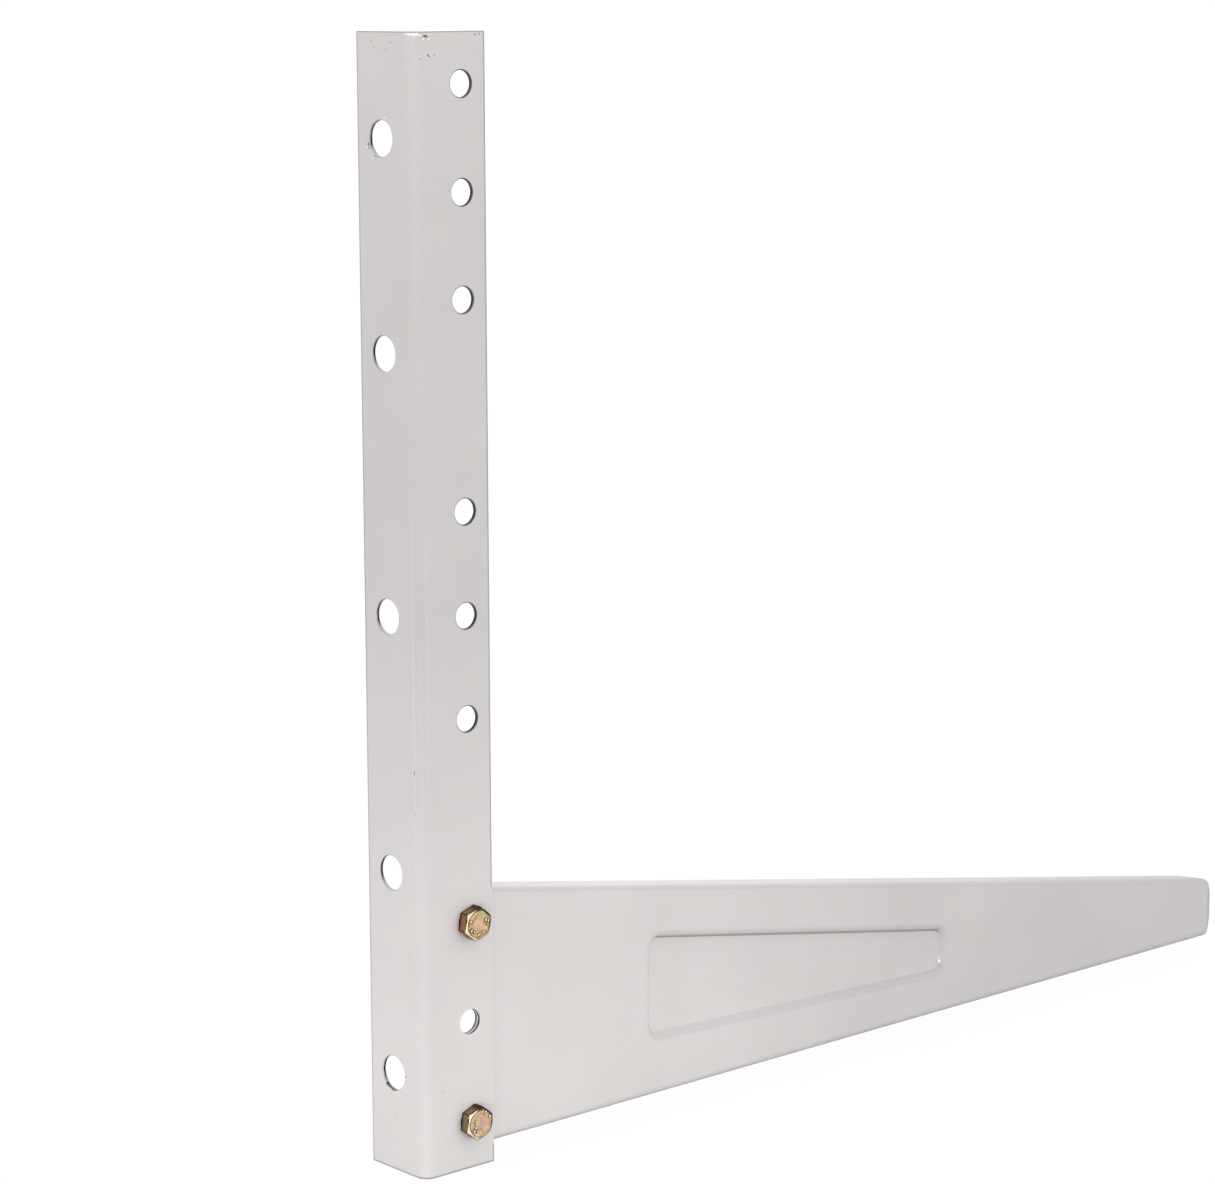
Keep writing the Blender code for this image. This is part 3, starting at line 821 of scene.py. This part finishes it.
def add_bump(tree, height, distance, strength, before=None):
    inputs = {"Height": height, "Distance": distance, "Strength": strength}
    if before:
        inputs["Normal"] = before
    return add_node(tree, "ShaderNodeBump", inputs).outputs["Normal"]


def add_spots(tree, place, spots):
    """A mask that is 1 inside each spot, given as (X, Y, Z, radius), with ragged edges."""
    ragged = add_node(tree, "ShaderNodeTexNoise", {"Vector": place, "Scale": 1400.0, "Detail": 2.0})
    centred = add_vector(tree, "ADD", ragged.outputs["Color"], (-0.5, -0.5, -0.5))
    shifted = add_vector(tree, "MULTIPLY_ADD", centred, (SPOT_STRAY, SPOT_STRAY, SPOT_STRAY), place)
    masks = []
    for *middle, radius in spots:
        masks.append(add_mask(tree, distance_to(tree, shifted, middle), radius, 0.7 * radius))
    return add_math(tree, "MAXIMUM", *masks)


def along_joint(tree, place, apart):
    """A mask that is 1 where the upright's edge lies on the arm and round the spare hole, for painted
    light there.
    """
    beside = add_ridge(tree, apart["X"], SIDE_FLANGE - 0.0018, SIDE_FLANGE + 0.0030)
    above = add_mask(tree, apart["Z"], -SHEET - 0.0005, -SHEET + 0.0015)
    below = add_mask(tree, apart["Z"], LIP_AT_WALL - 0.005, LIP_AT_WALL - 0.008)
    edge = add_math(tree, "MULTIPLY", beside, add_math(tree, "MULTIPLY", above, below))
    around = add_mask(tree, distance_to(tree, place, SPARE_HOLE), 0.0076, 0.0072)
    return add_math(tree, "MAXIMUM", edge, around)


def at_top(tree, apart):
    """A mask that is 1 on the upright's upper end."""
    return add_mask(tree, apart["Z"], UPRIGHT_TOP - 0.0007, UPRIGHT_TOP - 0.0005)


def painted_coat_shade(tree, tilt, apart):
    """Painted shade on the coat, as pairs of a mask and a tint.

    It darkens where the sheet tilts up a little, on the lower bend's underside, and on upward faces
    toward the tip, standing in for how the light falls there. The tilt is the upward part of the
    surface's normal.
    """
    leaning = add_math(
        tree, "MULTIPLY", add_mask(tree, tilt, 0.03, 0.32), add_mask(tree, tilt, 0.97, 0.70)
    )
    under = add_math(
        tree, "MULTIPLY", add_mask(tree, tilt, -0.52, -0.80), add_mask(tree, tilt, -0.995, -0.975)
    )
    outer = add_math(
        tree, "MULTIPLY", add_mask(tree, tilt, 0.60, 0.95), add_mask(tree, apart["X"], 0.12, ARM_REACH)
    )
    return [(leaning, LEANING_SHADE_TINT), (under, UNDERSIDE_SHADE_TINT), (outer, UPWARD_SHADE_TINT)]


def powder_coat(name, colour, rim_shades=(), rim_shade_share=0.68, chips=(), burrs_and_glint=(), end_colour=None):
    """Light grey powder coat: satin, faintly clouded, with a fine orange-peel surface.

    Rim shades are bands of painted shade along the outer edges, chips are dark spots where the coat is
    off, and burrs and glint are spots of bright bare metal: burrs, and on the arm a painted glint. An end
    colour is for the upright's upper end. The colour also carries painted shade on slopes and bends, and
    painted light along the joint.
    """
    material, tree, shader = new_material(name)
    coordinates = add_node(tree, "ShaderNodeTexCoord").outputs
    place = coordinates["Object"]
    apart = parts_of(tree, place)
    clouds = add_noise(tree, place, 16.0, 3.0)
    grain = add_noise(tree, place, 900.0, 3.0, 0.6)
    peel = add_noise(tree, place, 520.0, 2.0)

    tint = add_mix(tree, add_mask(tree, clouds, 0.3, 0.7), scaled(colour, 0.97), scaled(colour, 1.03))
    joint_light = along_joint(tree, place, apart)
    # Painted shade in bands along the outer edges
    if rim_shades:
        bands = [add_mask(tree, apart[axis], start, end) for axis, start, end in rim_shades]
        tint = add_mix(tree, add_math(tree, "MAXIMUM", *bands), tint, scaled(colour, rim_shade_share))
    # Painted light: the coat is lighter along the joint and round the spare hole, lifting the shade there
    tint = add_mix(tree, joint_light, tint, scaled(COAT, 1.08))
    if end_colour:
        tint = add_mix(tree, at_top(tree, apart), tint, end_colour)
    speckle = add_mix(tree, add_mask(tree, grain, 0.35, 0.65), SPECKLE_TINT, WHITE)
    surface = add_product(tree, tint, speckle)
    tilt = parts_of(tree, coordinates["Normal"])["Z"]
    # Painted shade on slopes that lean up, under the lower bend, and on upward faces toward the tip
    for mask, shade in painted_coat_shade(tree, tilt, apart):
        surface = add_product(tree, surface, add_mix(tree, mask, WHITE, shade))

    roughness = add_range(tree, clouds, 0.3, 0.7, 0.40, 0.46)
    normal = add_bump(tree, peel, 0.0002, 0.22)
    if chips:
        mask = add_spots(tree, place, chips)
        surface = add_mix(tree, mask, surface, CHIP)
        roughness = add_range(tree, mask, 0.0, 1.0, 0.43, 0.6)
        sunk = add_math(tree, "SUBTRACT", 1.0, mask)
        normal = add_bump(tree, sunk, 0.00008, 0.8, normal)
    # Spots of bright metal: burrs, and on the arm a painted glint
    if burrs_and_glint:
        mask = add_spots(tree, place, burrs_and_glint)
        surface = add_mix(tree, mask, surface, BURR_AND_GLINT)
        tree.links.new(mask, shader.inputs["Metallic"])
    tree.links.new(surface, shader.inputs["Base Color"])
    tree.links.new(roughness, shader.inputs["Roughness"])
    tree.links.new(normal, shader.inputs["Normal"])
    shader.inputs["Coat Weight"].default_value = 0.35
    shader.inputs["Coat Roughness"].default_value = 0.22
    return material


def cut_steel():
    """Punched and sheared edges: dark steel with drag marks, its near-black partly painted shade.

    The coat reached the outer half of the anchor holes' walls and lies in two bands in the spare hole. It
    is off where the lowest anchor hole's rim is bare.
    """
    material, tree, shader = new_material("cut_steel")
    coordinates = add_node(tree, "ShaderNodeTexCoord").outputs
    place = coordinates["Object"]
    drag = add_noise(tree, place, 2600.0, 2.0)
    patches = add_noise(tree, place, 380.0, 3.0)
    # The cut metal's own dark, made darker still as painted shade
    shaded_steel = add_mix(tree, drag, *STEEL_AND_SHADE)
    apart = parts_of(tree, place)
    tilt = parts_of(tree, coordinates["Normal"])["Z"]

    depth = add_math(tree, "ADD", apart["X"], add_range(tree, patches, 0.35, 0.65, -0.0003, 0.0003))
    outer_half = add_mask(tree, depth, 0.0007, 0.0003)
    below = add_range(tree, tilt, 0.30, 0.75, 0.0, 0.9)
    above = add_range(tree, tilt, -0.60, -0.85, 0.0, 0.9)
    in_anchor_hole = add_mask(tree, apart["X"], 0.0030, 0.0021)
    coated = add_math(tree, "MAXIMUM", outer_half, below, above)
    coated = add_math(tree, "MULTIPLY", coated, in_anchor_hole)

    in_spare_hole = add_range(tree, distance_to(tree, place, SPARE_HOLE), 0.010, 0.009, 0.0, 0.7)
    faces = (SIDE_FACE_Y, WEB_FACE_Y)
    bands = [add_ridge(tree, apart["Y"], face - 0.0002, face + 0.0008) for face in faces]
    streaks = add_math(tree, "MAXIMUM", *bands, add_range(tree, patches, 0.5, 0.62, 0.0, 0.3))
    coated = add_math(tree, "MAXIMUM", coated, add_math(tree, "MULTIPLY", streaks, in_spare_hole))

    covered = add_math(tree, "SUBTRACT", 1.0, add_spots(tree, place, BARE_RIM))
    coated = add_math(tree, "MULTIPLY", coated, covered)
    surface = add_mix(tree, add_math(tree, "MULTIPLY", coated, 0.85), shaded_steel, COAT)
    surface = add_mix(tree, at_top(tree, apart), surface, TOP_END)
    tree.links.new(surface, shader.inputs["Base Color"])
    tree.links.new(add_range(tree, drag, 0.2, 0.8, 0.45, 0.65), shader.inputs["Roughness"])
    tree.links.new(add_bump(tree, drag, 0.0001, 0.3), shader.inputs["Normal"])
    shader.inputs["Specular IOR Level"].default_value = 0.1
    return material


def yellow_zinc(name):
    """Yellow-passivated zinc: gold that drifts to brown and olive, with a fine forged roughness."""
    material, tree, shader = new_material(name)
    place = add_node(tree, "ShaderNodeTexCoord").outputs["Object"]
    drift = add_noise(tree, place, 150.0, 2.0)
    swells = add_noise(tree, place, 230.0, 2.0)
    fine = add_noise(tree, place, 1300.0, 3.0)
    surface = add_mix(tree, add_mask(tree, drift, 0.42, 0.58), *ZINC)
    tree.links.new(surface, shader.inputs["Base Color"])
    tree.links.new(add_range(tree, fine, 0.3, 0.7, 0.24, 0.40), shader.inputs["Roughness"])
    tree.links.new(add_bump(tree, swells, 0.0003, 0.25), shader.inputs["Normal"])
    shader.inputs["Metallic"].default_value = 1.0
    return material, tree, surface, fine


def head_zinc(name, z, turn, marks, palette, tints):
    """The same zinc on a bolt, with painted reflections: its head's face is painted paler, its chamfer
    and the marks' crests carry painted highlights, and dark lines of painted shade run along the edges.

    On the head, places are measured from the bolt's axis: straight out, and square to the nearest flat.
    """
    material, tree, surface, fine = yellow_zinc(name)
    shader = tree.nodes["Principled BSDF"]
    coordinates = add_node(tree, "ShaderNodeTexCoord").outputs
    moved = add_vector(tree, "ADD", coordinates["Object"], (-BOLT_X, 0.0, -z))
    x, y, up = parts_of(tree, moved)
    outward = add_math(tree, "ABSOLUTE", parts_of(tree, coordinates["Normal"])["Y"], 0.0)
    radius = add_math(tree, "SQRT", add_math(tree, "ADD", square(tree, x), square(tree, up)), 0.0)
    angle = add_math(tree, "ADD", add_math(tree, "ARCTAN2", up, x), turn)
    inputs = {0: angle, 1: pi / 6, 2: -pi / 6}
    from_flat = add_node(tree, "ShaderNodeMath", inputs, operation="WRAP").outputs[0]
    across = add_math(tree, "MULTIPLY", radius, add_math(tree, "COSINE", from_flat, 0.0))
    to_right = add_math(tree, "DIVIDE", x, radius)
    to_top = add_math(tree, "DIVIDE", up, radius)

    left_flat, dark_face, light_face = palette
    mottled = add_noise(tree, moved, 480.0, 2.0)
    face = add_mix(tree, add_mask(tree, mottled, 0.40, 0.60), dark_face, light_face)
    flat = add_vector(tree, "MULTIPLY", moved, (1.0, 0.0, 1.0))
    for tint_x, tint_z, size, colour in tints:
        away = distance_to(tree, flat, (tint_x, 0.0, tint_z))
        face = add_mix(tree, add_range(tree, away, size, 0.4 * size, 0.0, 0.85), face, colour)
    for mark_x, mark_z, _, length, _ in marks:
        away = distance_to(tree, flat, (mark_x, 0.0, mark_z))
        around = add_range(tree, away, 0.55 * length + 0.0006, 0.55 * length, 0.0, 0.75)
        face = add_mix(tree, around, face, MARK_SHADE)

    # Painted highlight on the chamfer's left side, and painted shade on its right
    chamfer_light_and_shade = add_mix(tree, add_mask(tree, to_right, 0.1, -0.4), *CHAMFER_SHADE_TO_HIGHLIGHT)
    past_face = add_mask(tree, radius, HEX_FACE_RADIUS - 0.0001, HEX_FACE_RADIUS + 0.0001)
    face = add_mix(tree, past_face, face, chamfer_light_and_shade)
    surface = add_mix(tree, add_range(tree, to_right, -0.70, -0.80, 0.0, 0.85), surface, left_flat)
    # The face is painted paler than the flats, as a painted reflection
    surface = add_mix(tree, add_mask(tree, outward, 0.45, 0.60), surface, face)

    # Painted shade: dark lines along the face's rim, the edges, the corners and the ends of the flats;
    # the specks are the zinc's own
    upper_left = add_range(tree, add_math(tree, "SUBTRACT", to_top, to_right), -0.6, 1.2, 0.35, 1.0)
    rim = add_math(tree, "MULTIPLY", add_ridge(tree, radius, 0.0064, HEX_FACE_RADIUS), upper_left)
    upper_right = add_range(tree, add_math(tree, "ADD", to_top, to_right), 0.1, 0.9, 0.25, 1.0)
    rightward = add_mask(tree, to_right, -0.45, -0.15)
    edge = add_math(tree, "MULTIPLY", add_mask(tree, across, 0.0061, 0.0066), upper_right, rightward)
    on_side = add_mask(tree, outward, 0.80, 0.60)
    corner = add_range(tree, add_math(tree, "ABSOLUTE", from_flat, 0.0), 0.455, 0.49, 0.0, 0.8)
    corner = add_math(tree, "MULTIPLY", corner, on_side)
    front = add_range(tree, y, HEAD_SEAT_Y - 0.0044, HEAD_SEAT_Y - 0.0050, 0.0, 0.95)
    front = add_math(tree, "MULTIPLY", front, add_range(tree, to_top, 0.0, 0.4, 0.2, 1.0))
    seat = add_range(tree, y, HEAD_SEAT_Y - 0.0014, HEAD_SEAT_Y - 0.0009, 0.0, 0.95)
    ends = add_math(tree, "MULTIPLY", add_math(tree, "MAXIMUM", front, seat), on_side)
    specks = add_range(tree, fine, 0.56, 0.68, 0.0, 0.6)
    shade_and_specks = add_math(tree, "MAXIMUM", rim, edge, corner, ends, specks)
    surface = add_mix(tree, shade_and_specks, surface, HEAD_SHADE_AND_SPECKS)

    # Painted highlight on the crests of the marks
    level = HEAD_SEAT_Y - HEAD_HEIGHT + MARK_HEIGHT
    crest_highlight = add_mask(tree, y, level - 0.00012, level - 0.00024)
    surface = add_mix(tree, crest_highlight, surface, MARK_HIGHLIGHT)
    tree.links.new(surface, shader.inputs["Base Color"])
    return material


def seen_directly(tree):
    """A mask that is 1 to the camera, in reflections and through what is clear."""
    path = add_node(tree, "ShaderNodeLightPath").outputs
    kinds = ("Is Camera Ray", "Is Glossy Ray", "Is Transmission Ray")
    return add_math(tree, "MAXIMUM", *[path[kind] for kind in kinds])


def floor_material():
    """White to the camera and in reflections, but still darkened where the object shades it."""
    material, tree, shader = new_material("floor_white")
    shader.inputs["Base Color"].default_value = (*FLOOR_GREY, 1.0)
    shader.inputs["Roughness"].default_value = 0.9
    white = add_node(tree, "ShaderNodeEmission", {"Color": (*WHITE, 1.0), "Strength": FLOOR_GLOW})
    share = add_math(tree, "MULTIPLY", seen_directly(tree), FLOOR_GLOW_SHARE)
    mix = add_node(tree, "ShaderNodeMixShader", {0: share, 1: shader.outputs[0], 2: white.outputs[0]})
    tree.links.new(mix.outputs[0], tree.nodes["Material Output"].inputs["Surface"])
    return material


# Stage

def make_floor():
    """A wide floor under the upright's foot."""
    bm = bmesh.new()
    bmesh.ops.create_grid(bm, x_segments=4, y_segments=4, size=FLOOR_REACH)
    bmesh.ops.translate(bm, verts=bm.verts, vec=(0, 0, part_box("upright")[0].z))
    floor = new_object("floor", bm, (floor_material(),))


def make_world():
    """White where it is seen, and an even light on the object."""
    world = bpy.data.worlds.new("studio")
    bpy.context.scene.world = world
    world.use_nodes = True
    tree = world.node_tree
    strength = add_range(tree, seen_directly(tree), 0.0, 1.0, AMBIENT, 1.0)
    background = tree.nodes["Background"]
    background.inputs["Color"].default_value = (*WHITE, 1.0)
    tree.links.new(strength, background.inputs["Strength"])


def add_softbox(name, place, target, side, power, spread):
    light = bpy.data.lights.new(name, "AREA")
    light.shape = "RECTANGLE"
    light.size = light.size_y = side
    light.energy = power
    light.spread = radians(spread)
    obj = bpy.data.objects.new(name, light)
    obj.location = place
    obj.rotation_euler = (Vector(target) - Vector(place)).to_track_quat("-Z", "Y").to_euler()
    obj.visible_camera = False
    bpy.context.scene.collection.objects.link(obj)


def make_camera():
    a, e, roll = radians(CAMERA_AZIMUTH), radians(CAMERA_ELEVATION), radians(CAMERA_ROLL)
    back = Vector((sin(a) * cos(e), -cos(a) * cos(e), sin(e)))
    level = (-back).cross(Vector((0, 0, 1))).normalized()
    upright = level.cross(-back)
    right = level * cos(roll) + upright * sin(roll)
    up = upright * cos(roll) - level * sin(roll)
    camera = bpy.data.objects.new("camera", bpy.data.cameras.new("camera"))
    camera.data.sensor_width = SENSOR_WIDTH
    camera.data.sensor_fit = "HORIZONTAL"
    camera.data.lens = CAMERA_LENS
    camera.data.clip_start = 0.05
    turned = Matrix((right, up, back)).transposed().to_4x4()
    camera.matrix_world = Matrix.Translation(CAMERA_PLACE) @ turned
    bpy.context.scene.collection.objects.link(camera)
    bpy.context.scene.camera = camera


# The object: its materials, then its pieces

coat = powder_coat("powder_coat", COAT, ARM_RIM_SHADE, burrs_and_glint=ARM_GLINT)
worn_coat = powder_coat(
    "powder_coat_chipped", COAT, UPRIGHT_RIM_SHADE, chips=UPRIGHT_CHIPS + BARE_RIM, burrs_and_glint=UPRIGHT_BURRS
)
# The coat of the rounded edges, darker as painted shade along the edges
edge_shade_coat = powder_coat(
    "powder_coat_edges", EDGE_SHADE_COAT, BEVEL_RIM_SHADE, rim_shade_share=0.22, chips=BARE_RIM, end_colour=TOP_END
)
shaded_steel = cut_steel()
nut_zinc = yellow_zinc("yellow_zinc")[0]
upper_zinc = head_zinc(
    "yellow_zinc_upper", UPPER_BOLT_Z, UPPER_HEAD_TURN, UPPER_MARKS, UPPER_PALETTE, UPPER_TINTS
)
lower_zinc = head_zinc(
    "yellow_zinc_lower", LOWER_BOLT_Z, LOWER_HEAD_TURN, LOWER_MARKS, LOWER_PALETTE, LOWER_TINTS
)

pieces = {
    "upright": upright_sheet((worn_coat, shaded_steel, edge_shade_coat)),
    "arm": arm_sheet((coat, shaded_steel, edge_shade_coat)),
    "upper_bolt": make_bolt(
        "upper_bolt_detailed", UPPER_BOLT_Z, UPPER_HEAD_TURN, UPPER_MARKS, upper_zinc
    ),
    "lower_bolt": make_bolt(
        "lower_bolt_detailed", LOWER_BOLT_Z, LOWER_HEAD_TURN, LOWER_MARKS, lower_zinc
    ),
    "upper_nut": make_nut("upper_nut_detailed", UPPER_BOLT_Z, UPPER_NUT_TURN, nut_zinc),
    "lower_nut": make_nut("lower_nut_detailed", LOWER_BOLT_Z, LOWER_NUT_TURN, nut_zinc),
}
for node, piece in pieces.items():
    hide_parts(node)
    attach(piece, "root")

make_floor()
make_world()
for softbox in SOFTBOXES:
    add_softbox(*softbox)
make_camera()
bpy.context.scene.view_settings.view_transform = "Standard"
